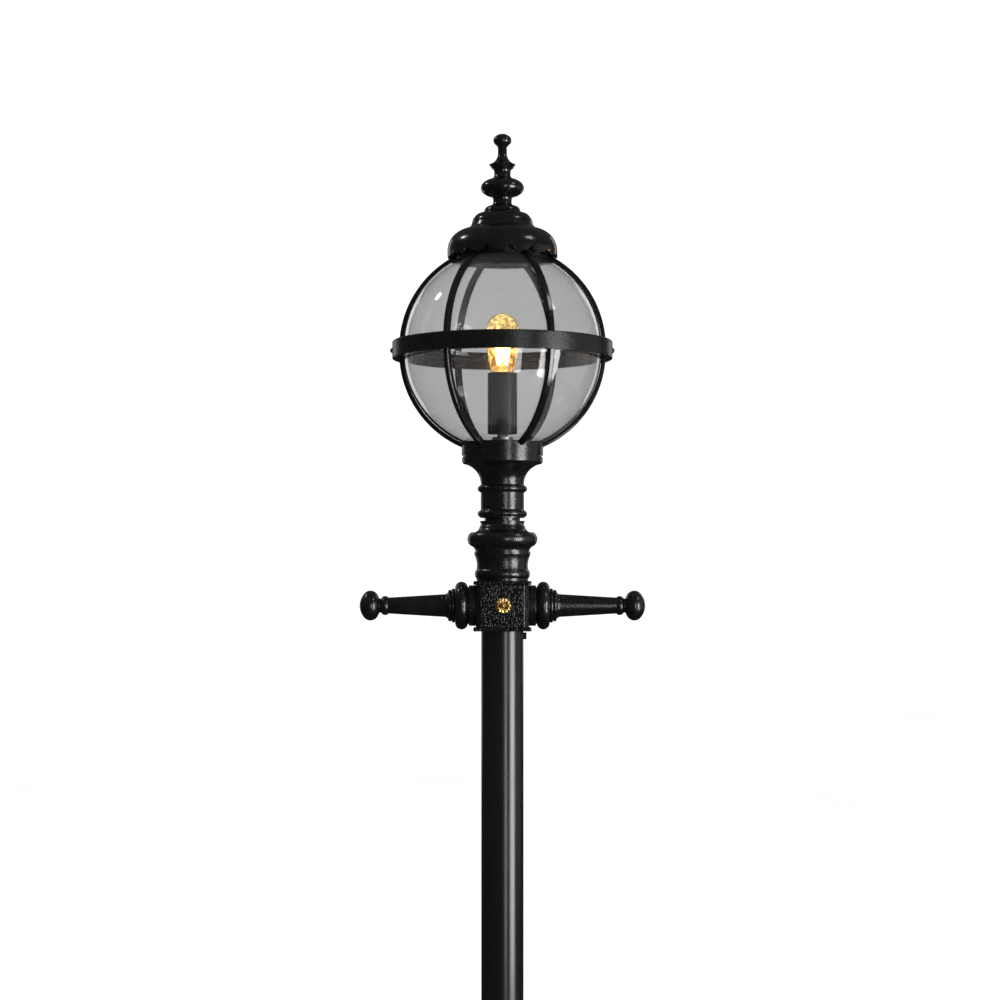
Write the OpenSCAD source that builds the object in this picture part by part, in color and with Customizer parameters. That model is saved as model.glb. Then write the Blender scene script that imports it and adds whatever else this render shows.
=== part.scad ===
// Victorian-style street lamp: a caged clear globe on a cast capital, ladder arms and a tube post.
// Millimetres, +Z up, origin on the ground at the centre of the base plate.
// The -Y side is the front. Heights of the castings are counted from the ladder block's centre.

/* [Post] */
// Height of the ladder block's centre above the ground
block_z = 1250; // [900:10:2400]
// Outside diameter of the steel post tube
post_d = 76; // [70:1:80]
// Wall thickness of the post tube
post_wall = 3.5; // [2.5:0.5:6]
// Side of the square base plate
base_side = 280; // [240:10:360]
// Thickness of the base plate
base_t = 12; // [8:1:20]
// Distance between anchor holes, along X and along Y
anchor_pitch = 210; // [190:10:220]
// Diameter of the anchor holes
anchor_d = 16; // [10:1:20]
// Diameter of the cable hole in the base plate
cable_hole_d = 50; // [30:1:60]

/* [Ladder bar] */
// Side of the square ladder block's body
block_side = 95; // [92:1:97]
// Side of the block's top and bottom flanges
block_flange = 104; // [102:1:106]
// Thickness of each block flange
block_flange_t = 7; // [5:1:9]
// Number of petals on each brass rosette
petals = 12; // [8:1:16]

/* [Globe and cage] */
// Outside diameter of the clear globe
globe_d = 356; // [352:1:358]
// Wall of the clear globe
globe_wall = 3.5; // [2.5:0.5:4]
// Number of cage ribs
rib_count = 6; // [4:1:8]
// Width of a cage rib
rib_w = 13; // [10:1:15]
// Turn of the cage about the post, seen from above
cage_turn = -2.3; // [-10:0.1:10]
// Outside diameter of the band round the globe's waist
band_d = 396; // [394:1:404]
// Height of the band
band_h = 31; // [29:1:34]

/* [Canopy] */
// Number of scallops round the canopy's rim
scallops = 15; // [12:1:18]
// Height from a scallop's lowest point to the cusp beside it
scallop_rise = 10.5; // [6:0.5:12]
// Turn that brings a cusp to its place beside the front
scallop_turn = 7.9; // [0:0.1:24]

/* [Lamp] */
// Outside diameter of the sleeve that hides the lampholder
sleeve_d = 53; // [48:1:56]
// Height of the sleeve
sleeve_h = 109; // [100:1:112]
// Largest diameter of the bulb
bulb_d = 59; // [56:1:60]

/* [Hidden] */
$fn = 96;

iron = [0.05, 0.05, 0.055];
steel = [0.6, 0.6, 0.62];
brass = [0.8, 0.6, 0.25];
rubber = [0.08, 0.08, 0.08];
clear = [0.85, 0.9, 0.92, 0.35];
fit = 0.05;                     // radial clearance of parts that slide together
play = 0.3;                     // gap between curved faces of parts that move apart

// Post and ladder block
block_low = -46;
block_high = 44;
socket_depth = 36;              // how far the tube goes up into the block
wire_r = 22;                    // cable way through the castings
spigot_r = 30;                  // capital's spigot in the block
spigot_h = 18;
corner_cut = 8.5;               // leg of the flat on each upright corner of the block
arm_face = block_side / 2;
stud_r = 8;
set_screw_z = -54.5;
set_screw_r = 3;
rosette_screw_r = 2;
stud_end = 85;                  // how far an arm stud reaches from the post's axis

// Lantern heights above the block's centre
neck_low = 114;                 // foot of the gallery's spigot, inside the capital
neck_r = 32;
grub_z = 145;
grub_r = 3;
capital_top = 152;
gallery_top = 288;
cage_foot_top = 294;
globe_r = globe_d / 2;
globe_in = globe_r - globe_wall;
globe_low_z = 456;              // centre of the lower half globe, and the foot of its flange
globe_high_z = 464;             // centre of the upper half globe, and the top of its flange
flange_t = 3;                   // thickness of the globe halves' flanges
flange_r = 184;
rib_in = globe_r + 0.4;
rib_foot = 284;                 // below every rib's lower end
rib_head = 632;                 // above every rib's upper end
cage_in = globe_r + 1;
cage_reach = 200;               // radius that holds the whole cage
hoop_r = 187;                   // bore of the band's bottom flange
band_r = band_d / 2;
band_screw_z = 459;
band_screw_r = 3;
band_low = band_screw_z - band_h / 2;
band_top = band_low + band_h;
band_flange_t = 6;
band_wall = 6;
skirt_r = band_r - band_wall - play;
hoop_low = 444;
foot_r = 73.3;
foot_in = 68;
crown_low = 617;
crown_top = 644;
crown_r = 84;
crown_in = 66;
lip_z = 450;                    // lower edge of the lid's skirt
rim_z = 626;                    // lowest points of the canopy's scallops
rim_top = 638;
rim_r = 98.9;
shell_t = 4;
canopy_top = 681;
cap_top = 706.5;
finial_stud_r = 5;
bridge_t = 5;
bridge_bolt_r = 72;             // the bridge's screws stand this far from the axis
bridge_screw_r = 2.5;

// Lamp heights above the block's centre
cup_r = 42;                     // gallery's wiring cup
cup_z = 258;
stool_t = 3;
stool_top = gallery_top + stool_t;
hub_top = 303;
stool_bolt_r = 48;               // the stool's screws stand on this circle
stool_screw_r = 2;
sleeve_z = 309;
sleeve_r = sleeve_d / 2;
sleeve_wall = 2;
nipple_r = 6.5;
nipple_bore = 4.5;
holder_low = 350;
holder_floor = 370;
holder_top = 402;
holder_r = 19.5;
shell_r = 13.6;                 // bore of the lampholder's screw shell
cap_z = 384;                    // foot of the bulb's screw cap
bulb_seat = 409;
bulb_r = bulb_d / 2;
bulb_ball_z = 496;              // centre of the bulb's round top

// ---------- shared shapes ----------

// The part of an outline between two points. bend is an arc's radius: over 0 it swells outward,
// under 0 it hollows inward, and 0 is a straight line.
module stretch(p, q, bend) {
    chord = q - p;
    half = norm(chord) / 2;
    out = [chord.y, -chord.x] / (2 * half);
    r = abs(bend);
    reach = sqrt(max(r * r - half * half, 0)) * sign(bend);
    centre = (p + q) / 2 - out * reach;
    difference() {
        polygon(concat([[0, p.y]], p.x > 0 ? [p] : [], q.x > 0 ? [q] : [], [[0, q.y]]));
        if (bend < 0) translate(centre) circle(r);
    }
    if (bend > 0) intersection() {
        translate(centre) circle(r);
        polygon([p, q, q + out * r, p + out * r]);
    }
}

// The bend of a round cap that starts at radius r and closes on the axis h further up
function cap_bend(r, h) = (r * r + h * h) / (2 * h);

// A turned solid. Each row is a radius, a height and the bend up to the next row.
module turned(rows) {
    rotate_extrude() outline(rows);
}

module outline(rows) {
    for (i = [0 : len(rows) - 2]) {
        a = rows[i];
        b = rows[i + 1];
        if (b.y > a.y) stretch([a.x, a.y], [b.x, b.y], a.z);
    }
}

// A ring with square edges between two heights
module ring(r_out, r_in, low, high) {
    rotate_extrude() translate([r_in, low]) square([r_out - r_in, high - low]);
}

// A plain rod between two heights
module rod(r, low, high) {
    translate([0, 0, low]) cylinder(r = r, h = high - low);
}

// A flat square with round corners
module rounded_square(side, r) {
    half = side / 2 - r;
    square([side, 2 * half], center = true);
    square([2 * half, side], center = true);
    for (x = [-half, half], y = [-half, half]) translate([x, y]) circle(r);
}

// A flat square with its corners cut off straight, each cut with legs of one length
module chamfered_square(side, leg) {
    intersection() {
        square(side, center = true);
        rotate(45) square(sqrt(2) * (side - leg), center = true);
    }
}

// Children lifted from the ladder block's frame to the ground frame
module at_block() {
    translate([0, 0, block_z]) children();
}

// A screw with a domed, slotted head that sits on z = 0 and a shank that goes down
module dome_screw(shank_r, length, head_r, head_h) {
    difference() {
        turned([
            [shank_r, -length, 0], [shank_r, 0, 0], [head_r, 0, cap_bend(head_r, head_h)], [0, head_h, 0]
        ]);
        translate([0, 0, head_h]) cube([2 * head_r, head_r / 4, head_h * 0.8], center = true);
    }
}

// A plain hexagon nut across flats s, on z = 0
module hex_nut(s, bore_r, h) {
    difference() {
        cylinder(r = s / sqrt(3), h = h, $fn = 6);
        translate([0, 0, -1]) cylinder(r = bore_r, h = h + 2);
    }
}

// One cage rib about the globe's centre, between two elevations
module rib(low, high) {
    half = rib_w / 2;
    rotate([90, 0, 0]) rotate([0, 0, low]) rotate_extrude(angle = high - low, $fn = 360)
        translate([rib_in, 0]) polygon([
            [0, -half], [0, half], [4, half], [5, half - 1.8], [7, half - 2.4], [7.8, half - 3.4],
            [7.8, 3.4 - half], [7, 2.4 - half], [5, 1.8 - half], [4, -half]
        ]);
}

module ribs(centre_z, low, high) {
    translate([0, 0, centre_z]) for (i = [0 : rib_count - 1])
        rotate([0, 0, cage_turn + i * 360 / rib_count]) rib(low, high);
}

// ---------- post ----------

module base_plate() {
    color(iron) linear_extrude(base_t) difference() {
        rounded_square(base_side, 24);
        circle(d = cable_hole_d);
        for (x = [-1, 1], y = [-1, 1]) translate([x, y] * anchor_pitch / 2) circle(d = anchor_d);
    }
}

// Cast skirting round the foot of the tube
module base_collar() {
    color(iron) difference() {
        turned([
            [74, base_t, 0], [74, base_t + 8, 6], [66, base_t + 16, 0], [62, base_t + 16, -34],
            [46, base_t + 48, 0], [48, base_t + 48, 5.5], [48, base_t + 58, 0],
            [43, base_t + 58, 0], [42, base_t + 66, 0]
        ]);
        rod(post_d / 2 + fit, 0, base_t + 70);
    }
}

module post_tube() {
    top = block_z + block_low + socket_depth;
    color(iron) difference() {
        ring(post_d / 2, post_d / 2 - post_wall, base_t, top);
        at_block() translate([0, 0, set_screw_z]) rotate([0, 90, 0])
            rod(set_screw_r + fit, post_d / 2 - 2 * post_wall, post_d / 2 + 1);
    }
}

// Screw that locks the tube, just under the block on the right
module post_set_screw() {
    color(iron) at_block() translate([post_d / 2, 0, set_screw_z]) rotate([0, 90, 0]) {
        cylinder(r = 6.2, h = 5.5, $fn = 6);
        rod(set_screw_r, -post_wall - 6, 0);
    }
}

// ---------- ladder block and arms ----------

module ladder_block() {
    bore_top = block_low + socket_depth;
    color(iron) at_block() difference() {
        union() {
            translate([0, 0, block_low]) linear_extrude(block_high - block_low)
                chamfered_square(block_side, corner_cut);
            for (z = [block_low, block_high - block_flange_t]) translate([0, 0, z])
                linear_extrude(block_flange_t) rounded_square(block_flange, 3);
        }
        rod(post_d / 2 + fit, block_low - 1, bore_top);
        rod(wire_r, block_low, block_high + 1);
        rod(spigot_r + fit, block_high - spigot_h, block_high + 1);
        for (side = [-1, 1]) rotate([0, side * 90, 0]) rod(stud_r + fit, 34, 60);
        for (side = [-1, 1]) rotate([side * 90, 0, 0]) rod(rosette_screw_r + fit, 36, 60);
    }
}

// An arm, turned about +Z, with the block's axis at z = 0
module ladder_arm() {
    difference() {
        turned([
            [36.6, arm_face, 0], [36.6, 59, 1.5], [35.1, 60.5, 0], [33, 60.5, 0], [33, 62, 11.6],
            [33, 85, 0], [29, 85, 3.4], [29, 91, 0], [26.5, 91, 3.6], [26.5, 97.5, 0],
            [25, 97.5, -8], [20.5, 104.5, 0], [14.6, 203, 0], [14.5, 205, 7.8], [14.5, 217, 0],
            [12.6, 219, 0], [12.6, 221, 0], [19.5, 224.5, 15], [27, 237.5, 15],
            [19.5, 250.5, cap_bend(19.5, 6.5)], [0, 257, 0]
        ]);
        rod(stud_r + fit, arm_face - 1, stud_end);
    }
}

module ladder_arm_left() {
    color(iron) at_block() rotate([0, -90, 0]) ladder_arm();
}

module ladder_arm_right() {
    color(iron) at_block() rotate([0, 90, 0]) ladder_arm();
}

// The two threaded studs that hold the arms on the block
module arm_studs() {
    color(steel) at_block() for (side = [-1, 1]) rotate([0, side * 90, 0]) rod(stud_r, 35, stud_end);
}

// A flower of round petals on z = 0, with a screw hole in its middle
module rosette() {
    petal_r = 3.7;
    difference() {
        union() {
            linear_extrude(2.2) {
                circle(11.8);
                for (i = [0 : petals - 1]) rotate(i * 360 / petals) translate([11.8, 0]) circle(petal_r);
            }
            turned([[10.5, 2, 14], [5, 4, 0]]);
        }
        rod(rosette_screw_r + fit, -1, 6);
    }
}

module on_block_face(turn) {
    at_block() rotate([0, 0, turn]) translate([0, -block_side / 2, 0]) rotate([90, 0, 0]) children();
}

module rosette_front() {
    color(brass) on_block_face(0) rosette();
}

module rosette_back() {
    color(brass) on_block_face(180) rosette();
}

module rosette_screws() {
    color(brass) for (turn = [0, 180]) on_block_face(turn) translate([0, 0, 4])
        dome_screw(rosette_screw_r, 14, 4, 2.4);
}

// ---------- capital and gallery ----------

module post_capital() {
    color(iron) at_block() difference() {
        turned([
            [spigot_r, block_high - spigot_h, 0], [spigot_r, block_high, 0],
            [46.5, block_high, 0], [46.5, 48.5, 12], [46.5, 65, -44],
            [50.6, 92, 0], [50.6, 96.5, 0], [49, 96.5, 0], [49, 99, -10], [56, 107, 14.6],
            [56.5, 131.5, -13], [41, 141.5, 0], [39, 145, 0], [39, 149.5, 0],
            [40.5, 149.5, 0], [40.5, capital_top, 0]
        ]);
        rod(wire_r, 0, capital_top);
        rod(neck_r + fit, neck_low, capital_top + 1);
        for (i = [0 : 2]) rotate([0, 0, 90 + 120 * i]) translate([0, 0, grub_z]) rotate([0, 90, 0])
            rod(grub_r + fit, neck_r, 50);
    }
}

// Grub screws in the capital's neck that lock the lantern
module lantern_grub_screws() {
    color(steel) at_block() for (i = [0 : 2])
        rotate([0, 0, 90 + 120 * i]) translate([0, 0, grub_z]) rotate([0, 90, 0]) difference() {
            rod(grub_r, neck_r + fit, 38.6);
            translate([0, 0, 36.6]) cylinder(r = 1.7, h = 3, $fn = 6);
        }
}

// Children at each of the three screws that hold the stool on the gallery
module at_stool_bolts() {
    for (i = [0 : 2]) rotate([0, 0, 30 + 120 * i]) translate([stool_bolt_r, 0, 0]) children();
}

module gallery() {
    color(iron) at_block() difference() {
        turned([
            [neck_r, neck_low, 0], [neck_r, 158, 0], [40.5, 158, 0], [40.5, 159.5, 5.7],
            [40.5, 170.5, 0], [39, 172.5, 0], [39, 203, 0], [40.5, 204.5, 5.7], [40.5, 215.5, 0],
            [38.9, 217, 0], [38.9, 219, -37.4], [70, 255, 6], [72.8, 260, 0], [72.8, 266, 0],
            [71.2, 266, 0], [71.2, 270.5, 0], [foot_r, 270.5, 0], [foot_r, gallery_top, 0]
        ]);
        rod(wire_r, 0, gallery_top);
        rod(cup_r, cup_z, gallery_top + 1);
        at_stool_bolts() rod(stool_screw_r + fit, 276, gallery_top + 1);
        translate([-30, -12, 0]) rod(2.5 + fit, 250, 260);
    }
}

// ---------- cage, band and globe ----------

// Ring on the gallery that the globe sits in and the lower ribs are joined to
module cage_foot_ring() {
    color(iron) at_block() difference() {
        ring(foot_r, foot_in, gallery_top, cage_foot_top);
        translate([0, 0, globe_low_z]) sphere(r = rib_in, $fn = 180);
    }
}

module lower_ribs() {
    color(iron) at_block() intersection() {
        ribs(globe_low_z, -72, 0);
        ring(cage_reach, foot_r, rib_foot, hoop_low);
    }
}

// Hoop under the lower globe's flange, inside the band
module lower_hoop() {
    color(iron) at_block() ring(hoop_r - fit, cage_in, hoop_low, globe_low_z);
}

module equator_band() {
    color(iron) at_block() difference() {
        turned([
            [band_r - 1, band_low, 1], [band_r, band_low + 1, 0],
            [band_r, band_top - 2, 2], [band_r - 2, band_top, 0]
        ]);
        rod(hoop_r, band_low - 1, band_top);
        rod(band_r - band_wall, band_low + band_flange_t, band_top + 1);
        for (side = [-1, 1]) translate([0, 0, band_screw_z]) rotate([0, side * 90, 0])
            rod(band_screw_r + fit, band_r - 20, band_r + 5);
    }
}

// Screw through the band, turned about +Z: its head sits outside the band
module band_screw() {
    translate([0, 0, band_r]) dome_screw(band_screw_r, 10, 5.2, 4.2);
}

module band_screw_left() {
    color(iron) at_block() translate([0, 0, band_screw_z]) rotate([0, -90, 0]) band_screw();
}

module band_screw_right() {
    color(iron) at_block() translate([0, 0, band_screw_z]) rotate([0, 90, 0]) band_screw();
}

// Half of a globe shell round its centre, above z = 0 when side is 1 and below when side is -1
module half_shell(side) {
    intersection() {
        difference() {
            sphere(r = globe_r, $fn = 180);
            sphere(r = globe_in, $fn = 180);
        }
        translate([0, 0, side * globe_d / 2]) cube(globe_d, center = true);
    }
}

// Lower half, cut off flat where it stands on its gasket
module lower_globe() {
    color(clear) at_block() {
        difference() {
            translate([0, 0, globe_low_z]) half_shell(-1);
            rod(globe_r, gallery_top - 20, stool_top);
        }
        ring(flange_r, globe_in, globe_low_z, globe_low_z + flange_t);
    }
}

module neck_gasket() {
    color(rubber) at_block() ring(67.5, 57, gallery_top, stool_top);
}

module equator_gasket() {
    color(rubber) at_block() ring(flange_r, globe_in + 1.5, globe_low_z + flange_t, globe_high_z - flange_t);
}

module upper_globe() {
    color(clear) at_block() {
        translate([0, 0, globe_high_z]) half_shell(1);
        ring(flange_r, globe_in, globe_high_z - flange_t, globe_high_z);
    }
}

// The lid's hoop, with a skirt inside the band. Slots in the skirt clear the band's screws.
module lid_hoop() {
    color(iron) at_block() difference() {
        union() {
            ring(skirt_r, cage_in, globe_high_z, band_top);
            ring(skirt_r, hoop_r + play, lip_z, band_top);
        }
        for (side = [-1, 1]) {
            translate([0, 0, band_screw_z]) rotate([0, side * 90, 0])
                rod(band_screw_r + play, hoop_r - 5, band_r);
            translate([side * (hoop_r + 3), 0, lip_z]) cube([16, 2 * (band_screw_r + play),
                2 * (band_screw_z - lip_z)], center = true);
        }
    }
}

module upper_ribs() {
    color(iron) at_block() intersection() {
        ribs(globe_high_z, 0, 67);
        ring(cage_reach, crown_r, band_top, rib_head);
    }
}

// Ring at the top of the upper ribs, which carries the canopy and the bridge
module crown_ring() {
    color(iron) at_block() difference() {
        ring(crown_r, crown_in, crown_low, crown_top);
        translate([0, 0, globe_high_z]) sphere(r = rib_in, $fn = 180);
        for (side = [-1, 1]) translate([side * bridge_bolt_r, 0, 0])
            rod(bridge_screw_r + fit, 630, crown_top + 1);
    }
}

// ---------- canopy and finial ----------

// Flat bar across the crown ring that the finial's stud screws into
module crown_bridge() {
    color(steel) at_block() difference() {
        translate([-77, -10, crown_top]) cube([154, 20, bridge_t]);
        rod(finial_stud_r + fit, crown_top - 1, crown_top + bridge_t + 1);
        for (side = [-1, 1]) translate([side * bridge_bolt_r, 0, 0])
            rod(bridge_screw_r + fit, crown_top - 1, crown_top + bridge_t + 1);
    }
}

module bridge_screws() {
    color(steel) at_block() for (side = [-1, 1]) translate([side * bridge_bolt_r, 0, crown_top + bridge_t])
        dome_screw(bridge_screw_r, 14, 4.5, 3);
}

// The notch between two scallops, as a flat shape with its cusp above. The lobes' lowest points
// are flattened a little.
module scallop_notch() {
    flat = 0.3;
    pitch = 2 * PI * rim_r / scallops;
    rise = scallop_rise + flat;
    lobe_r = (pitch * pitch / 4 + rise * rise) / (2 * rise);
    difference() {
        translate([1 - pitch / 2, -1]) square([pitch - 2, rise + 1]);
        for (side = [-1, 1]) translate([side * pitch / 2, lobe_r - flat]) circle(lobe_r);
    }
}

// Lowest part of the canopy, cut into hanging scallops
module scalloped_rim() {
    difference() {
        ring(rim_r, rim_r - shell_t, rim_z, rim_top);
        for (i = [0 : scallops - 1]) rotate([0, 0, scallop_turn + i * 360 / scallops])
            translate([0, 8 - rim_r, rim_z]) rotate([90, 0, 0]) linear_extrude(16) scallop_notch();
    }
}

module canopy() {
    color(iron) at_block() {
        scalloped_rim();
        difference() {
            turned([[rim_r, rim_top, 38.4], [66, 676, 0], [58, canopy_top, 0]]);
            turned([[rim_r - shell_t, rim_top, 34.45], [66, 672, 0], [50, canopy_top - shell_t, 0]]);
            rod(50, canopy_top - 10, canopy_top + 1);
        }
        ring(rim_r - 2, crown_r - 6, crown_top, crown_top + shell_t);
    }
}

// Upper tier of the canopy, hollow underneath
module canopy_cap() {
    color(iron) at_block() difference() {
        turned([
            [57.6, canopy_top, 0], [54.6, 688, 14], [50, 698.5, 12], [40, 705, 0], [36.5, cap_top, 0]
        ]);
        turned([[50, canopy_top - 1, 0], [50, 688, 12], [40, 700, 0], [12, cap_top - shell_t, 0]]);
        rod(finial_stud_r + fit, canopy_top, cap_top + 1);
    }
}

module finial() {
    color(iron) at_block() difference() {
        turned([
            [32.8, cap_top, 0], [32.8, 709, 10], [26, 718, 0], [20, 719, -9], [16.8, 727, 0],
            [16.8, 730, -8], [21.5, 736.5, 24], [35.5, 743.5, 11], [36, 759, 30], [20, 767.5, -9],
            [14.8, 774, 0], [14.8, 779, -9], [19.5, 787, 0], [23.6, 792.5, 0], [23.6, 793.5, -22],
            [8.2, 811, 0], [8.2, 825, 0], [12.56, 829.6, 9], [16.4, 837, 9],
            [12.56, 844.4, cap_bend(12.56, 4.6)], [0, 849, 0]
        ]);
        rod(finial_stud_r + fit, cap_top - 1, 735);
    }
}

module finial_stud() {
    color(steel) at_block() rod(finial_stud_r, crown_top, 734);
}

module stud_nut() {
    color(steel) at_block() translate([0, 0, crown_top + bridge_t]) hex_nut(17, finial_stud_r + fit, 8);
}

// ---------- lamp ----------

module lamp_stool() {
    color(steel) at_block() difference() {
        turned([
            [53.5, gallery_top, 0], [53.5, stool_top, 0], [26, stool_top, -9], [19, 299, 0], [19, hub_top, 0]
        ]);
        rod(nipple_r + fit, gallery_top - 1, hub_top + 1);
        turned([[20, gallery_top - 1, 0], [16, 299, 0]]);
        at_stool_bolts() rod(stool_screw_r + fit, gallery_top - 1, stool_top + 1);
    }
}

module stool_screws() {
    color(steel) at_block() at_stool_bolts() translate([0, 0, stool_top])
        dome_screw(stool_screw_r, 14, 3.6, 2.2);
}

// Threaded tube that carries the lampholder and its leads
module holder_nipple() {
    color(steel) at_block() ring(nipple_r, nipple_bore, 286, holder_floor - 4);
}

module nipple_nut() {
    color(steel) at_block() translate([0, 0, hub_top])
        hex_nut(16, nipple_r + fit, sleeve_z - hub_top);
}

module lamp_sleeve() {
    color([0.12, 0.12, 0.125]) at_block() difference() {
        rod(sleeve_r, sleeve_z, sleeve_z + sleeve_h);
        rod(sleeve_r - sleeve_wall, sleeve_z + 2, sleeve_z + sleeve_h + 1);
        rod(nipple_r + fit, sleeve_z - 1, sleeve_z + 3);
    }
}

module lampholder() {
    color([0.1, 0.1, 0.1]) at_block() difference() {
        turned([
            [12, holder_low, 0], [12, 354, -8], [holder_r, 362, 0], [holder_r, holder_top - 2, 2],
            [holder_r - 2, holder_top, 0]
        ]);
        rod(shell_r + 1.2, holder_floor, holder_top + 1);
        rod(nipple_r + fit, holder_low - 1, holder_floor - 4);
        for (side = [-1, 1]) translate([side * 2, 0, 0]) rod(1.6, holder_low, holder_floor + 1);
    }
}

// Screw shell and centre contact
module holder_contacts() {
    color(brass) at_block() {
        ring(shell_r + 1.1, shell_r, holder_floor + 8, holder_top - 2);
        ring(shell_r + 1.1, 10, holder_floor + 7, holder_floor + 8);
        rod(4, holder_floor, 380.8);
    }
}

// Two leads from the terminal block, up through the nipple to the lampholder
module holder_leads() {
    lead_r = 1.4;
    bend_r = 12;
    bend_z = 280;
    color([0.55, 0.3, 0.15]) at_block() for (side = [-1, 1]) translate([side * 2, 0, 0]) {
        rod(lead_r, bend_z, holder_floor);
        translate([0, bend_r, bend_z]) rotate([0, 90, 0]) rotate([0, 0, -90])
            rotate_extrude(angle = 90) translate([bend_r, 0]) circle(lead_r, $fn = 24);
        translate([0, bend_r, bend_z - bend_r]) rotate([-90, 0, 0]) rod(lead_r, 0, 24 - bend_r);
    }
}

module terminal_block() {
    color("white") at_block() difference() {
        translate([-15, 24, cup_z]) cube([30, 14, 13]);
        for (i = [-1 : 1], y = [28, 34]) translate([i * 9, y, 0]) rod(1.8, cup_z + 7, cup_z + 14);
    }
}

// Saddle that grips the supply cable on the cup's floor
module cable_clamp() {
    color(steel) at_block() difference() {
        translate([-13, -36, cup_z]) cube([26, 9, 9]);
        translate([0, -26, cup_z]) rotate([90, 0, 0]) cylinder(r = 5, h = 11);
        for (side = [-1, 1]) translate([side * 9.5, -31.5, 0]) rod(1.7, cup_z - 1, cup_z + 10);
    }
}

module earth_stud() {
    color(brass) at_block() translate([-30, -12, 0]) {
        rod(2.5, 250, 272);
        translate([0, 0, 262]) hex_nut(8, 2.5 - fit, 4);
    }
}

// ---------- bulb ----------

// The bulb's outline, moved in by t for the inside of the glass
function bulb_rows(t) = [
    [14.5 - t, bulb_seat - 5, 0], [14.5 - t, bulb_seat + 2, -14], [20.5 - t, bulb_seat + 13, 240],
    [bulb_r - t, bulb_ball_z, bulb_r - t], [0, bulb_ball_z + bulb_r - t, 0]
];

module bulb_glass() {
    glass_t = 0.9;
    color([1, 0.75, 0.4, 0.4]) at_block() difference() {
        turned(bulb_rows(0));
        turned(bulb_rows(glass_t));
    }
}

// Screw cap with its insulator and centre contact
module bulb_cap() {
    thread_pitch = 3.6;
    color(brass) at_block() difference() {
        union() {
            turned([
                [4.5, cap_z - 3, 0], [4.5, cap_z - 1.5, 0], [9, cap_z, 0], [12.2, cap_z + 2, 0],
                [12.2, bulb_seat - 5, 0]
            ]);
            for (i = [0 : 4]) turned([
                [12, cap_z + 3 + i * thread_pitch, 2.3], [12, cap_z + 6.4 + i * thread_pitch, 0]
            ]);
            ring(15.4, 12, bulb_seat - 5.5, bulb_seat - 5);
            ring(15.4, 14.5 + fit, bulb_seat - 5, bulb_seat);
        }
        rod(11.4, cap_z + 3, bulb_seat - 4);
    }
}

// Glass stem that carries the filament
module bulb_stem() {
    color(clear) at_block() turned([
        [11, cap_z + 8, 0], [11, cap_z + 22, -16], [3.5, cap_z + 44, 0], [2.2, 450, 0],
        [2.2, 470, 0], [3.4, 471, 2.2], [0, 474, 0]
    ]);
}

// Upright filament strands round the stem
module bulb_filament() {
    strands = 8;
    color([1, 0.8, 0.5]) at_block() for (i = [0 : strands - 1]) rotate([0, 0, i * 360 / strands])
        translate([8, 0, 432]) rotate([0, 7, 0]) cylinder(r = 0.7, h = 50);
}

base_plate();
base_collar();
post_tube();
post_set_screw();
ladder_block();
ladder_arm_left();
ladder_arm_right();
arm_studs();
rosette_front();
rosette_back();
rosette_screws();
post_capital();
lantern_grub_screws();
gallery();
cage_foot_ring();
lower_ribs();
lower_hoop();
equator_band();
lower_globe();
neck_gasket();
equator_gasket();
lamp_stool();
stool_screws();
holder_nipple();
nipple_nut();
lamp_sleeve();
lampholder();
holder_contacts();
holder_leads();
terminal_block();
cable_clamp();
earth_stud();
lid_hoop();
upper_ribs();
crown_ring();
upper_globe();
crown_bridge();
bridge_screws();
canopy();
canopy_cap();
finial();
finial_stud();
stud_nut();
bulb_glass();
bulb_cap();
bulb_stem();
bulb_filament();
band_screw_left();
band_screw_right();
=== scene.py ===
import math

import bmesh
import bpy
from mathutils import Matrix, Vector, noise


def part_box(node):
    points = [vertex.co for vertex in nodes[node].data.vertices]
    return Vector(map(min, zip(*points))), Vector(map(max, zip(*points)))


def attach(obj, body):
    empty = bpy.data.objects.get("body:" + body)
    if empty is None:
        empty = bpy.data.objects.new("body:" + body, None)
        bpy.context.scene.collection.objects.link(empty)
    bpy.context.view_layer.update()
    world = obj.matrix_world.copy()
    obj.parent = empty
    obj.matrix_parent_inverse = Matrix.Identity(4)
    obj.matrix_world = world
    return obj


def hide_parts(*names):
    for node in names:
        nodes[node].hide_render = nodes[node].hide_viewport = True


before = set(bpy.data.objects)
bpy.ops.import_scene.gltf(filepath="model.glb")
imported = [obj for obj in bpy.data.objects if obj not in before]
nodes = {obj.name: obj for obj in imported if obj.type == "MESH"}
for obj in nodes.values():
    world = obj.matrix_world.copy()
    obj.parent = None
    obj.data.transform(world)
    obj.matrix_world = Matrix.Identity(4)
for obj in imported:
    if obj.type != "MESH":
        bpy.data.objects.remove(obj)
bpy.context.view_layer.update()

# ---------------------------------------------------------------- places taken from the model's parts

MM = 0.001


def middle(node):
    low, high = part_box(node)
    return (Vector(low) + Vector(high)) / 2


BLOCK_RISE = 46 * MM            # from the block's foot up to the middle of its rosettes
BLOCK_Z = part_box("ladder_block")[0][2] + BLOCK_RISE
BULB_LOW, BULB_TOP = (corner[2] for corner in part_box("bulb_glass"))

# ---------------------------------------------------------------- camera

CAMERA_DISTANCE = 3.93
CAMERA_HEIGHT = BLOCK_Z + 0.028
CAMERA_SIDE = -0.0043
CAMERA_LENS = 78.6
CAMERA_SENSOR = 36
CAMERA_SHIFT = 0.09             # raises the picture's frame, so that upright lines stay parallel


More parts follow.
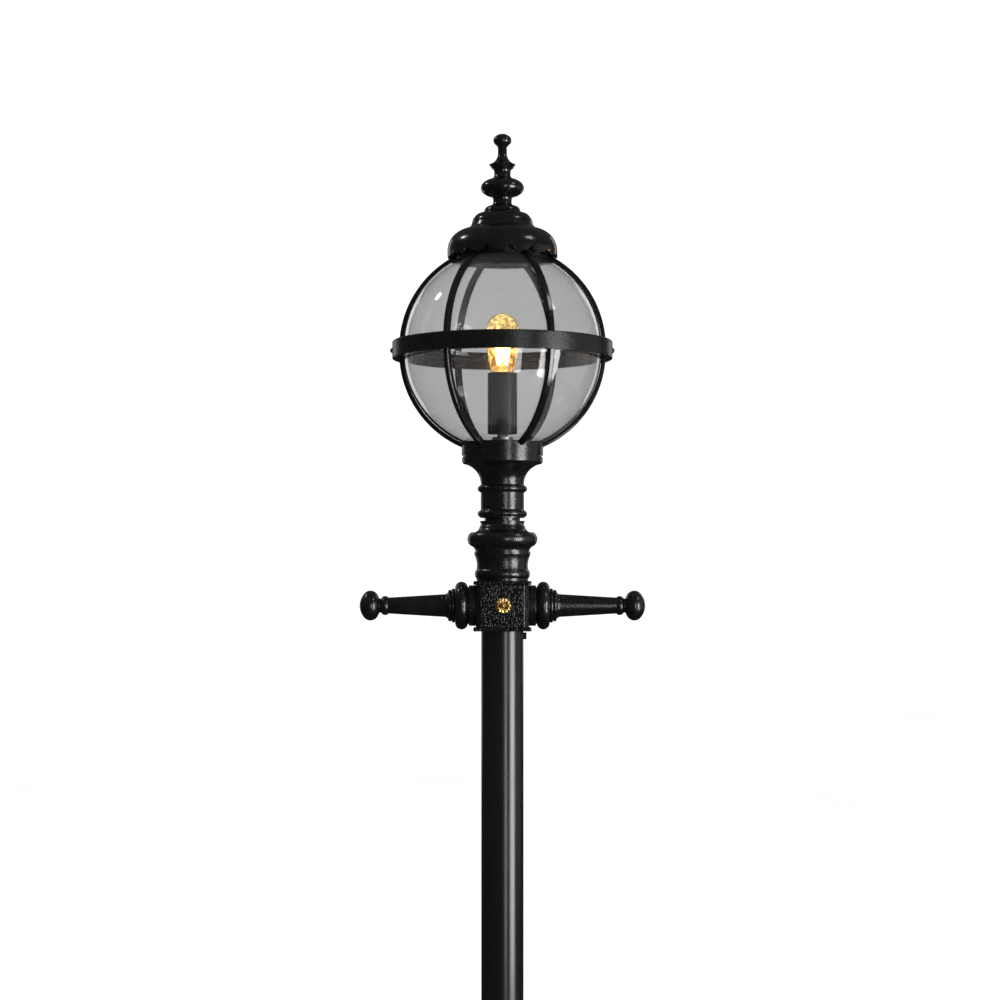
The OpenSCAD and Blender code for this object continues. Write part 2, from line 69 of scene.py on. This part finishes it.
def make_camera():
    """A level camera in front of the lamp."""
    data = bpy.data.cameras.new("camera")
    data.lens = CAMERA_LENS
    data.sensor_width = CAMERA_SENSOR
    data.shift_y = CAMERA_SHIFT
    camera = bpy.data.objects.new("camera", data)
    camera.location = (CAMERA_SIDE, -CAMERA_DISTANCE, CAMERA_HEIGHT)
    camera.rotation_euler = (math.pi / 2, 0, 0)
    bpy.context.collection.objects.link(camera)
    bpy.context.scene.camera = camera


make_camera()

# ---------------------------------------------------------------- node helpers

CELL_ROUNDING = 0.6


class Tree:
    """A material's node tree, with its Principled shader ready."""

    def __init__(self, name):
        self.material = bpy.data.materials.new(name)
        self.material.use_nodes = True
        self.nodes = self.material.node_tree.nodes
        self.links = self.material.node_tree.links
        self.shader = self.nodes["Principled BSDF"]
        self.place = self.add("ShaderNodeTexCoord").outputs["Object"]

    def add(self, kind):
        return self.nodes.new(kind)

    def link(self, source, target):
        self.links.new(source, target)

    def set(self, **values):
        """Constants on the shader's own sockets, an underscore standing for a space in a socket's name."""
        for key, value in values.items():
            self.shader.inputs[key.replace("_", " ")].default_value = value

    def noise(self, scale, detail, stretch=None, roughness=0.55, distortion=0.0):
        texture = self.add("ShaderNodeTexNoise")
        texture.inputs["Scale"].default_value = scale
        texture.inputs["Detail"].default_value = detail
        texture.inputs["Roughness"].default_value = roughness
        texture.inputs["Distortion"].default_value = distortion
        self.link(self.stretched(stretch), texture.inputs["Vector"])
        return texture.outputs["Fac"]

    def stretched(self, stretch):
        if stretch is None:
            return self.place
        mapping = self.add("ShaderNodeMapping")
        mapping.inputs["Scale"].default_value = stretch
        self.link(self.place, mapping.inputs["Vector"])
        return mapping.outputs["Vector"]

    def cells(self, scale):
        """The distance from the middle of rounded cells."""
        texture = self.add("ShaderNodeTexVoronoi")
        texture.feature = "SMOOTH_F1"
        texture.inputs["Scale"].default_value = scale
        texture.inputs["Smoothness"].default_value = CELL_ROUNDING
        self.link(self.place, texture.inputs["Vector"])
        return texture.outputs["Distance"]

    def ramp(self, source, stops):
        """A colour ramp through stops, each a place from 0 to 1 and a colour."""
        ramp = self.add("ShaderNodeValToRGB")
        points = ramp.color_ramp.elements
        while len(points) < len(stops):
            points.new(0.5)
        for point, (at, colour) in zip(points, stops):
            point.position = at
            point.color = (*colour, 1)
        self.link(source, ramp.inputs["Fac"])
        return ramp.outputs["Color"]

    def remap(self, source, low, high, from_low, from_high):
        """source, taken from between from_low and from_high to between low and high."""
        node = self.add("ShaderNodeMapRange")
        ends = {"From Min": from_low, "From Max": from_high, "To Min": low, "To Max": high}
        for key, value in ends.items():
            node.inputs[key].default_value = value
        self.link(source, node.inputs["Value"])
        return node.outputs["Result"]

    def bump(self, height, strength, distance, below=None):
        """A normal that sinks where height is great. below is another bump's normal, to add to."""
        node = self.add("ShaderNodeBump")
        node.inputs["Strength"].default_value = strength
        node.inputs["Distance"].default_value = distance
        self.link(height, node.inputs["Height"])
        node.invert = True
        if below is not None:
            self.link(below, node.inputs["Normal"])
        return node.outputs["Normal"]


# ---------------------------------------------------------------- materials


def black_paint(name, grain, grain_size, roughness, coat):
    """Black paint over a casting. grain is how high its grains stand and grain_size how wide they are."""
    tree = Tree(name)
    tree.link(tree.ramp(tree.noise(45, 5), [(0.35, (0.0022, 0.0022, 0.0023)), (0.7, (0.0042, 0.004, 0.004))]),
              tree.shader.inputs["Base Color"])
    tree.link(tree.remap(tree.noise(110, 3), roughness - 0.03, roughness + 0.06, 0.3, 0.7),
              tree.shader.inputs["Roughness"])
    grains = tree.bump(tree.cells(1 / grain_size), 1.0, grain)
    waves = tree.bump(tree.noise(0.22 / grain_size, 3), 0.5, grain, grains)
    tree.link(waves, tree.shader.inputs["Normal"])
    tree.set(IOR=1.5, Coat_Weight=coat, Coat_Roughness=0.12)
    return tree.material


def satin_tube():
    tree = Tree("satin black tube")
    tree.link(tree.ramp(tree.noise(14, 4, stretch=(1, 1, 0.15)),
                        [(0.3, (0.003, 0.0029, 0.0028)), (0.75, (0.0052, 0.0048, 0.0047))]),
              tree.shader.inputs["Base Color"])
    tree.link(tree.remap(tree.noise(30, 4, stretch=(1, 1, 0.2)), 0.2, 0.27, 0.3, 0.7),
              tree.shader.inputs["Roughness"])
    tree.link(tree.bump(tree.noise(420, 2), 0.2, 0.00008), tree.shader.inputs["Normal"])
    tree.set(IOR=1.55)
    return tree.material


def brass():
    tree = Tree("polished brass")
    tree.link(tree.ramp(tree.noise(160, 4), [(0.3, (0.42, 0.24, 0.055)), (0.62, (0.83, 0.6, 0.25))]),
              tree.shader.inputs["Base Color"])
    tree.link(tree.remap(tree.noise(300, 3), 0.16, 0.34, 0.3, 0.7), tree.shader.inputs["Roughness"])
    tree.link(tree.bump(tree.noise(900, 2), 0.3, 0.0001), tree.shader.inputs["Normal"])
    tree.set(Metallic=1.0)
    return tree.material


def zinc():
    tree = Tree("zinc plated steel")
    tree.link(tree.ramp(tree.noise(220, 4), [(0.3, (0.36, 0.36, 0.37)), (0.7, (0.6, 0.59, 0.56))]),
              tree.shader.inputs["Base Color"])
    tree.link(tree.remap(tree.noise(500, 3), 0.28, 0.45, 0.3, 0.7), tree.shader.inputs["Roughness"])
    tree.link(tree.bump(tree.noise(700, 3), 0.3, 0.0001), tree.shader.inputs["Normal"])
    tree.set(Metallic=1.0)
    return tree.material


def charcoal():
    tree = Tree("charcoal satin sleeve")
    tree.link(tree.ramp(tree.noise(90, 4, stretch=(1, 1, 0.1)),
                        [(0.3, (0.0052, 0.005, 0.0051)), (0.7, (0.0085, 0.008, 0.0081))]),
              tree.shader.inputs["Base Color"])
    tree.link(tree.remap(tree.noise(200, 3), 0.3, 0.4, 0.3, 0.7), tree.shader.inputs["Roughness"])
    tree.link(tree.bump(tree.noise(900, 2), 0.3, 0.0001), tree.shader.inputs["Normal"])
    tree.set(Specular_IOR_Level=0.27)
    return tree.material


def moulded(name, dark, light, roughness):
    tree = Tree(name)
    tree.link(tree.ramp(tree.noise(120, 4), [(0.3, dark), (0.7, light)]), tree.shader.inputs["Base Color"])
    tree.link(tree.remap(tree.noise(240, 3), roughness - 0.06, roughness + 0.06, 0.3, 0.7),
              tree.shader.inputs["Roughness"])
    tree.link(tree.bump(tree.noise(800, 2), 0.3, 0.0001), tree.shader.inputs["Normal"])
    return tree.material


def clear_shell(name, tint, ior, haze, veil, gloss=0.5):
    """The tree of see-through glass or acrylic, which light from lamps goes straight through.

    tint is what one wall lets through, haze how rough its roughest patches are, veil the share of the light
    that the wall scatters and gloss the strength of its reflections.
    """
    tree = Tree(name)
    tree.link(tree.ramp(tree.noise(6, 3), [(0.3, tuple(c * 0.985 for c in tint)), (0.7, tint)]),
              tree.shader.inputs["Base Color"])
    tree.link(tree.remap(tree.noise(20, 3), 0.0, haze, 0.45, 0.8), tree.shader.inputs["Roughness"])
    tree.link(tree.bump(tree.noise(9, 2), 0.06, 0.002), tree.shader.inputs["Normal"])
    tree.set(IOR=ior, Transmission_Weight=1 - veil, Specular_IOR_Level=gloss)
    through = tree.add("ShaderNodeBsdfTransparent")
    through.inputs["Color"].default_value = (*(math.sqrt(c) for c in tint), 1)
    mix = tree.add("ShaderNodeMixShader")
    tree.link(tree.add("ShaderNodeLightPath").outputs["Is Shadow Ray"], mix.inputs["Fac"])
    tree.link(tree.shader.outputs["BSDF"], mix.inputs[1])
    tree.link(through.outputs["BSDF"], mix.inputs[2])
    tree.link(mix.outputs["Shader"], tree.nodes["Material Output"].inputs["Surface"])
    return tree


def glowing(name, dim, bright, strength):
    """A surface that shines, in patches between the colours dim and bright."""
    tree = Tree(name)
    colour = tree.ramp(tree.noise(260, 2), [(0.3, dim), (0.7, bright)])
    tree.link(colour, tree.shader.inputs["Base Color"])
    tree.link(colour, tree.shader.inputs["Emission Color"])
    tree.set(Emission_Strength=strength, Roughness=0.5)
    tree.material.cycles.emission_sampling = "NONE"
    return tree.material


# Painted glow and painted glints on the bulb's glass, which is no lamp itself: emission colours from its foot
# to its top, and the glints' emission strengths.
GLOW_FOOT = (0.16, 0.06, 0.01)
GLOW_MIDDLE = (0.42, 0.25, 0.06)
GLOW_HIGH = (0.17, 0.135, 0.05)
GLOW_TOP = (0.14, 0.12, 0.045)
GLINT_DIM = 0.35
GLINT_BRIGHT = 4.5


def lit_glass():
    """Amber glass with a painted glow: brightest round the glowing filament, in streaks of painted glints,
    fading towards its ends.
    """
    tree = clear_shell("amber bulb glass", (1.0, 0.84, 0.56), ior=1.4, haze=0.03, veil=0.0)
    tree.material.cycles.emission_sampling = "NONE"
    split = tree.add("ShaderNodeSeparateXYZ")
    tree.link(tree.place, split.inputs["Vector"])
    # Painted glow: the glass's emission colour runs up its height.
    height = tree.remap(split.outputs["Z"], 0.0, 1.0, BULB_LOW, BULB_TOP)
    painted_glow = tree.ramp(height, [(0.0, GLOW_FOOT), (0.45, GLOW_MIDDLE), (0.7, GLOW_HIGH), (1.0, GLOW_TOP)])
    tree.link(painted_glow, tree.shader.inputs["Emission Color"])
    # Painted glints: streaks of noise set the strength of the glass's emission.
    painted_glint_streaks = tree.noise(70, 3, roughness=0.5, distortion=1.6)
    painted_glints = tree.remap(painted_glint_streaks, GLINT_DIM, GLINT_BRIGHT, 0.5, 0.66)
    tree.link(painted_glints, tree.shader.inputs["Emission Strength"])
    return tree.material


BLACK_BLOCK = black_paint("pebbly black casting", grain=0.00006, grain_size=0.0018, roughness=0.09, coat=0.0)
BLACK_CAST = black_paint("black casting", grain=0.00026, grain_size=0.003, roughness=0.23, coat=0.2)
BLACK_BAND = black_paint("satin black band", grain=0.00014, grain_size=0.0022, roughness=0.25, coat=0.0)
BLACK_SMOOTH = black_paint("smooth black casting", grain=0.00012, grain_size=0.005, roughness=0.17, coat=0.3)
BLACK_RIB = black_paint("black ribs", grain=0.00012, grain_size=0.005, roughness=0.18, coat=0.2)
BLACK_TUBE = satin_tube()
BRASS = brass()
ZINC = zinc()
CHARCOAL = charcoal()
RUBBER = moulded("black rubber", (0.012, 0.012, 0.012), (0.024, 0.023, 0.022), 0.62)
HOLDER = moulded("lampholder plastic", (0.02, 0.02, 0.02), (0.035, 0.034, 0.033), 0.4)
TERMINAL = moulded("terminal plastic", (0.62, 0.6, 0.55), (0.74, 0.72, 0.68), 0.42)
LEAD = moulded("lead insulation", (0.16, 0.06, 0.02), (0.24, 0.1, 0.035), 0.5)
# The clear globe's grey tint is painted shade: it stands in for the dim room seen through the glass.
GLOBE = clear_shell("clear globe", (0.625, 0.625, 0.632), ior=1.45, haze=0.01, veil=0.008, gloss=0.3).material
AMBER = lit_glass()
STEM_GLASS = clear_shell("bulb stem glass", (0.97, 0.93, 0.86), ior=1.4, haze=0.04, veil=0.02).material
FILAMENT = glowing("glowing filament", (1.0, 0.45, 0.12), (1.0, 0.78, 0.42), strength=26)

FINISHES = {
    BLACK_CAST: ["post_capital", "gallery", "ladder_arm_left", "ladder_arm_right", "cage_foot_ring",
                 "base_collar", "base_plate", "post_set_screw", "band_screw_left", "band_screw_right"],
    BLACK_BAND: ["equator_band", "lower_hoop", "lid_hoop"],
    BLACK_RIB: ["lower_ribs", "upper_ribs", "crown_ring"],
    BLACK_SMOOTH: ["canopy", "canopy_cap", "finial"],
    BLACK_TUBE: ["post_tube"],
    BRASS: ["rosette_screws", "holder_contacts", "earth_stud", "bulb_cap"],
    ZINC: ["arm_studs", "lantern_grub_screws", "stool_screws", "holder_nipple", "nipple_nut", "lamp_stool",
           "cable_clamp", "crown_bridge", "bridge_screws", "finial_stud", "stud_nut"],
    CHARCOAL: ["lamp_sleeve"],
    RUBBER: ["neck_gasket", "equator_gasket"],
    HOLDER: ["lampholder"],
    TERMINAL: ["terminal_block"],
    LEAD: ["holder_leads"],
    GLOBE: ["lower_globe", "upper_globe"],
    AMBER: ["bulb_glass"],
    STEM_GLASS: ["bulb_stem"],
}


def dress(obj, material):
    obj.data.materials.clear()
    obj.data.materials.append(material)


for material, names in FINISHES.items():
    for name in names:
        dress(nodes[name], material)

# ---------------------------------------------------------------- mesh helpers


def new_piece(name, mesh, material, body, replaced):
    """A visual piece that rides on a body and stands for the replaced CAD nodes."""
    piece = bpy.data.objects.new(name, mesh)
    bpy.context.collection.objects.link(piece)
    dress(piece, material)
    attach(piece, body)
    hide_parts(*replaced)


def lofted(name, rings):
    """A mesh through rings of the same number of points, with the last ring joined to the first."""
    built = bmesh.new()
    rows = [[built.verts.new(point) for point in ring] for ring in rings]
    count = len(rows[0])
    for row, after in zip(rows, rows[1:] + rows[:1]):
        for k in range(count):
            built.faces.new([row[k], row[(k + 1) % count], after[(k + 1) % count], after[k]])
    bmesh.ops.recalc_face_normals(built, faces=built.faces)
    for face in built.faces:
        face.smooth = True
    mesh = bpy.data.meshes.new(name)
    built.to_mesh(mesh)
    built.free()
    return mesh


def smoothstep(low, high, value):
    """0 up to low, 1 from high on, and a smooth rise in between."""
    t = min(max((value - low) / (high - low), 0), 1)
    return t * t * (3 - 2 * t)


# ---------------------------------------------------------------- ladder block

SIDE_POINTS = 92                # points on a quarter of a ring
CORNER_POINTS = 8               # those of them that are on the flat corner
BLOCK_CHAMFER = 8.5 * MM
FLANGE_CHAMFER = 2 * MM
FLANGE_T = 7 * MM
STEP = 1 * MM                   # height between two rings, and the bevel on the flanges' edges
TUBE_GAP = 0.1 * MM
WIRE_HOLE_R = 22 * MM
SPIGOT_R = 30 * MM
PLAIN_HALF = SPIGOT_R + 12 * MM         # the skin is pebbled outside this half width
PEBBLE_DEPTH = 0.7 * MM
PEBBLE_SIZE = 3.7 * MM
PEBBLE_EDGE = (0.05, 0.5)       # where a grain's side begins and ends, in grains from the next one
SWELL_SIZE = 3 * PEBBLE_SIZE
SWELL_SHARE = 0.25              # share of the depth that follows slow swells instead of grains


def chamfered_ring(half, chamfer, height):
    """Points round a square with flat corners, the same number on every ring."""
    flat = half - chamfer
    flat_points = SIDE_POINTS - CORNER_POINTS
    side = [(half, -flat + 2 * flat * k / flat_points) for k in range(flat_points)]
    side += [(half - chamfer * k / CORNER_POINTS, flat + chamfer * k / CORNER_POINTS)
             for k in range(CORNER_POINTS)]
    return turned_sides(side, height)


def round_ring(radius, height):
    angles = [math.pi / 2 * (k / SIDE_POINTS - 0.5) for k in range(SIDE_POINTS)]
    side = [(radius * math.cos(angle), radius * math.sin(angle)) for angle in angles]
    return turned_sides(side, height)


def turned_sides(side, height):
    """A whole ring from the points of its quarter."""
    ring = []
    for quarter in range(4):
        turn = Matrix.Rotation(quarter * math.pi / 2, 3, "Z")
        ring += [turn @ Vector((x, y, height)) for x, y in side]
    return ring


def spread(start, end, step):
    """Evenly spaced values from start to end, both kept."""
    count = max(round(abs(end - start) / step), 1)
    return [start + (end - start) * k / count for k in range(count + 1)]


def pebbled(mesh):
    """Push the skin in between rounded grains."""
    normals = [vertex.normal.copy() for vertex in mesh.vertices]
    for vertex, normal in zip(mesh.vertices, normals):
        if max(abs(vertex.co.x), abs(vertex.co.y)) <= PLAIN_HALF:
            continue
        near, second = noise.voronoi(vertex.co / PEBBLE_SIZE, distance_metric="DISTANCE")[0][:2]
        grain = smoothstep(*PEBBLE_EDGE, second - near)
        swell = 0.5 + 0.5 * noise.noise(vertex.co / SWELL_SIZE)
        vertex.co -= normal * PEBBLE_DEPTH * ((1 - grain) * (1 - SWELL_SHARE) + swell * SWELL_SHARE)


def ladder_block_mesh():
    """The block with its two flanges, its bore for the tube and its seat for the capital's spigot."""
    low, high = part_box("ladder_block")
    foot, top = low[2], high[2]
    flange = high[0]
    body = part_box("rosette_back")[0][1]
    tube_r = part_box("post_tube")[1][0] + TUBE_GAP
    tube_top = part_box("post_tube")[1][2]
    spigot_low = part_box("post_capital")[0][2]

    def flange_ring(height, inset=0.0):
        return chamfered_ring(flange - inset, FLANGE_CHAMFER, height)

    rings = [round_ring(tube_r, foot), flange_ring(foot, STEP), flange_ring(foot + STEP)]
    rings += [flange_ring(z) for z in spread(foot + 2 * STEP, foot + FLANGE_T - STEP, STEP)]
    rings += [flange_ring(foot + FLANGE_T, STEP)]
    rings += [chamfered_ring(body, BLOCK_CHAMFER, z) for z in spread(foot + FLANGE_T, top - FLANGE_T, STEP)]
    rings += [flange_ring(top - FLANGE_T, STEP)]
    rings += [flange_ring(z) for z in spread(top - FLANGE_T + STEP, top - STEP, STEP)]
    rings += [flange_ring(top, STEP), round_ring(SPIGOT_R, top), round_ring(SPIGOT_R, spigot_low)]
    rings += [round_ring(WIRE_HOLE_R, spigot_low), round_ring(WIRE_HOLE_R, tube_top)]
    rings += [round_ring(tube_r, tube_top)]
    mesh = lofted("ladder_block_casting", rings)
    pebbled(mesh)
    return mesh


new_piece("ladder_block_casting", ladder_block_mesh(), BLACK_BLOCK, "post", ["ladder_block"])

# ---------------------------------------------------------------- brass rosettes

PETALS = 12
ROSETTE_STEPS = 20 * PETALS
ROSETTE_HOLE_R = 2.2 * MM
NOTCH_R = 12.9 * MM             # radius at the notches between the petals
PETAL_REACH = 2.5 * MM          # from there out to the petals' tips
HUB_SIDE = (3.6 * MM, 5.6 * MM)
PETAL_ROOT = (4.4 * MM, 8 * MM)
PETAL_FALL = (0.72, 1.0)        # shares of the way out
BASE_HEIGHT = 0.7               # heights in millimetres
HUB_HEIGHT = 3.3
PETAL_HEIGHT = 2.3
VEIN_DEPTH = 0.22
VEIN_WIDTH = 0.02


def rosette_point(angle, share):
    """A point on the flower's skin. share runs from 0 at the hub's hole to 1 at the petals' tips."""
    lobe = abs(math.cos(angle * PETALS / 2))
    tip = NOTCH_R + PETAL_REACH * lobe ** 0.6
    radius = ROSETTE_HOLE_R + (tip - ROSETTE_HOLE_R) * share
    hub = 1 - smoothstep(*HUB_SIDE, radius)
    petal = smoothstep(*PETAL_ROOT, radius) * (1 - smoothstep(*PETAL_FALL, share)) ** 0.7
    vein = 1 - VEIN_DEPTH * math.exp(-((1 - lobe) / VEIN_WIDTH) ** 2)
    height = BASE_HEIGHT + HUB_HEIGHT * hub + PETAL_HEIGHT * petal * (0.12 + 0.88 * lobe ** 0.55) * vein
    return radius, height * MM


def rosette_mesh(name, facing):
    """facing is -1 for the front face and 1 for the back."""
    face_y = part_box("rosette_back")[0][1]
    centre = Vector((0, facing * face_y, BLOCK_Z))
    angles = [2 * math.pi * k / ROSETTE_STEPS for k in range(ROSETTE_STEPS)]
    skin = [[rosette_point(a, share) for a in angles] for share in spread(0, 1, 0.04)]
    skin.insert(0, [(ROSETTE_HOLE_R, 0)] * ROSETTE_STEPS)
    skin.append([(radius, 0) for radius, height in skin[-1]])
    rings = [[centre + Vector((r * math.cos(a), facing * h, r * math.sin(a)))
              for a, (r, h) in zip(angles, row)] for row in skin]
    return lofted(name, rings)


for side_name, facing in (("front", -1), ("back", 1)):
    flower = "rosette_flower_" + side_name
    new_piece(flower, rosette_mesh(flower, facing), BRASS, "post", ["rosette_" + side_name])

# ---------------------------------------------------------------- bulb filament

LOOPS = 9
LOOP_ARC = 0.94                 # share of the full circle that the loops fill
STRAND_STEPS = 18
WIRE_R = 0.42 * MM
FOOT_R = 8.4 * MM
TOP_WIDER = 4.4 * MM
BOW = 2.4 * MM                  # how far a strand bows out in its middle
WOBBLE = 0.05
TURN_OVER = (0.82, 1)           # the part of a strand that leans over to the next one
FOOT_ROOM = 1 * MM
TOP_ROOM = 2 * MM


def wire_mesh(name, path, radius):
    """A round wire along a list of points."""
    curve = bpy.data.curves.new(name, "CURVE")
    curve.dimensions = "3D"
    curve.bevel_depth = radius
    curve.bevel_resolution = 3
    curve.use_fill_caps = True
    spline = curve.splines.new("POLY")
    spline.points.add(len(path) - 1)
    for point, place in zip(spline.points, path):
        point.co = (*place, 1)
    holder = bpy.data.objects.new(name, curve)
    mesh = bpy.data.meshes.new_from_object(holder)
    bpy.data.objects.remove(holder)
    for polygon in mesh.polygons:
        polygon.use_smooth = True
    return mesh


def filament_path():
    """A squirrel-cage filament: upright strands round the stem, turned over at each end."""
    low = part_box("bulb_filament")[0][2] + FOOT_ROOM
    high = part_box("bulb_filament")[1][2] - TOP_ROOM
    path = []
    for strand in range(2 * LOOPS):
        turn = math.pi * strand / LOOPS * LOOP_ARC
        for k in range(STRAND_STEPS + 1):
            along = k / STRAND_STEPS
            share = along if strand % 2 == 0 else 1 - along
            radius = FOOT_R + TOP_WIDER * share + BOW * math.sin(math.pi * share)
            wobble = WOBBLE * math.sin(9 * share + 1.7 * strand)
            lean = math.pi / LOOPS * LOOP_ARC * smoothstep(*TURN_OVER, along) * 0.9
            angle = turn + wobble + lean
            path.append((radius * math.cos(angle), radius * math.sin(angle), low + (high - low) * share))
    return path


new_piece("filament_cage", wire_mesh("filament_cage", filament_path(), WIRE_R), FILAMENT, "bulb",
          ["bulb_filament"])

# ---------------------------------------------------------------- floor, light and backdrop

FLOOR_HALF = 40
WHITE = 1.12
ROOM_LOW = (0.02, 0.02, 0.021)
ROOM_HIGH = (0.09, 0.09, 0.094)
GLOBE_CROSSINGS = 3.5           # into the globe and out again crosses four surfaces
BULB_LIGHT_POWER = 0.4
BULB_LIGHT_COLOUR = (1.0, 0.6, 0.28)
BULB_LIGHT_R = 12 * MM

# name, degrees right of the camera, degrees up, distance, width, height, radiance, height aimed at, colour
SOFTBOXES = [
    ("key softbox", 56, 0, 3.0, 1.3, 1.9, 11, 0.92, (1.0, 1.0, 0.98)),
    ("right fill", 98, 4, 3.0, 2.2, 2.2, 0.3, 1.2, (1.0, 0.93, 0.8)),
    ("strip softbox", 18.4, 0, 3.2, 0.42, 2.0, 6.5, 1.0, (0.94, 0.97, 1.0)),
    ("upper left softbox", -106, 39, 2.6, 0.2, 0.26, 34, 1.7, (0.97, 0.98, 1.0)),
    ("high right softbox", 66, 38, 3.0, 0.6, 0.6, 7, 1.8, (1, 1, 1)),
    ("right rim softbox", 150, 12, 3.4, 0.7, 2.4, 0.8, 1.4, (1, 1, 1)),
    ("left rim softbox", -150, 8, 3.4, 0.7, 2.4, 0.8, 1.4, (1, 1, 1)),
]


def make_floor():
    """A pale floor that the paint's reflections do not show."""
    mesh = bpy.data.meshes.new("floor")
    corners = [(x * FLOOR_HALF, y * FLOOR_HALF, 0) for x, y in ((-1, -1), (1, -1), (1, 1), (-1, 1))]
    mesh.from_pydata(corners, [], [(0, 1, 2, 3)])
    floor = bpy.data.objects.new("floor", mesh)
    bpy.context.collection.objects.link(floor)
    tree = Tree("pale floor")
    tree.link(tree.ramp(tree.noise(0.8, 3), [(0.3, (0.88, 0.88, 0.88)), (0.7, (0.92, 0.92, 0.92))]),
              tree.shader.inputs["Base Color"])
    tree.set(Roughness=0.95, Specular_IOR_Level=0.0)
    dress(floor, tree.material)
    floor.visible_glossy = False


def softbox(name, azimuth, elevation, distance, width, height, radiance, aim_z, tone):
    """An area lamp aimed at the post's axis."""
    data = bpy.data.lights.new(name, "AREA")
    data.shape = "RECTANGLE"
    data.size = width
    data.size_y = height
    data.energy = radiance * math.pi * width * height
    data.color = tone
    lamp = bpy.data.objects.new(name, data)
    across, up = math.radians(azimuth), math.radians(elevation)
    reach = Vector((math.sin(across) * math.cos(up), -math.cos(across) * math.cos(up), math.sin(up)))
    lamp.location = Vector((0, 0, aim_z)) + distance * reach
    lamp.rotation_euler = reach.to_track_quat("Z", "Y").to_euler()
    lamp.visible_camera = False
    bpy.context.collection.objects.link(lamp)


def bulb_light():
    """The warm light that the filament throws on the lamp's inside."""
    data = bpy.data.lights.new("bulb light", "POINT")
    data.energy = BULB_LIGHT_POWER
    data.color = BULB_LIGHT_COLOUR
    data.shadow_soft_size = BULB_LIGHT_R
    lamp = bpy.data.objects.new("bulb light", data)
    lamp.location = middle("bulb_filament")
    bpy.context.collection.objects.link(lamp)


def make_world():
    """A white studio round the lamp, but a dark room in its paint's reflections, also inside the globe."""
    world = bpy.data.worlds.new("studio")
    bpy.context.scene.world = world
    world.use_nodes = True
    world.cycles.sampling_method = "NONE"
    tree = world.node_tree
    white = tree.nodes["Background"]
    white.inputs["Color"].default_value = (1, 1, 1, 1)
    white.inputs["Strength"].default_value = WHITE
    room = tree.nodes.new("ShaderNodeBackground")
    place = tree.nodes.new("ShaderNodeTexCoord")
    split = tree.nodes.new("ShaderNodeSeparateXYZ")
    ramp = tree.nodes.new("ShaderNodeValToRGB")
    height = tree.nodes.new("ShaderNodeMapRange")
    height.inputs["From Min"].default_value = -1
    tree.links.new(place.outputs["Generated"], split.inputs["Vector"])
    tree.links.new(split.outputs["Z"], height.inputs["Value"])
    tree.links.new(height.outputs["Result"], ramp.inputs["Fac"])
    low, high = ramp.color_ramp.elements
    low.position = 0.42
    low.color = (*ROOM_LOW, 1)
    high.position = 0.85
    high.color = (*ROOM_HIGH, 1)
    tree.links.new(ramp.outputs["Color"], room.inputs["Color"])
    path = tree.nodes.new("ShaderNodeLightPath")

    def math_node(operation, first, second):
        """A maths node, held between 0 and 1, on two values that are numbers or sockets."""
        node = tree.nodes.new("ShaderNodeMath")
        node.operation = operation
        node.use_clamp = True
        for socket, value in zip(node.inputs, (first, second)):
            if isinstance(value, float):
                socket.default_value = value
            else:
                tree.links.new(value, socket)
        return node.outputs["Value"]

    direct = math_node("SUBTRACT", path.outputs["Is Glossy Ray"], path.outputs["Is Transmission Ray"])
    mirrored = math_node("GREATER_THAN", path.outputs["Glossy Depth"], 0.5)
    through = math_node("GREATER_THAN", path.outputs["Transmission Depth"], GLOBE_CROSSINGS)
    inside = math_node("MULTIPLY", mirrored, through)
    mix = tree.nodes.new("ShaderNodeMixShader")
    tree.links.new(math_node("MAXIMUM", direct, inside), mix.inputs["Fac"])
    tree.links.new(white.outputs["Background"], mix.inputs[1])
    tree.links.new(room.outputs["Background"], mix.inputs[2])
    tree.links.new(mix.outputs["Shader"], tree.nodes["World Output"].inputs["Surface"])


make_floor()
make_world()
for row in SOFTBOXES:
    softbox(*row)
bulb_light()
bpy.context.scene.view_settings.view_transform = "Standard"
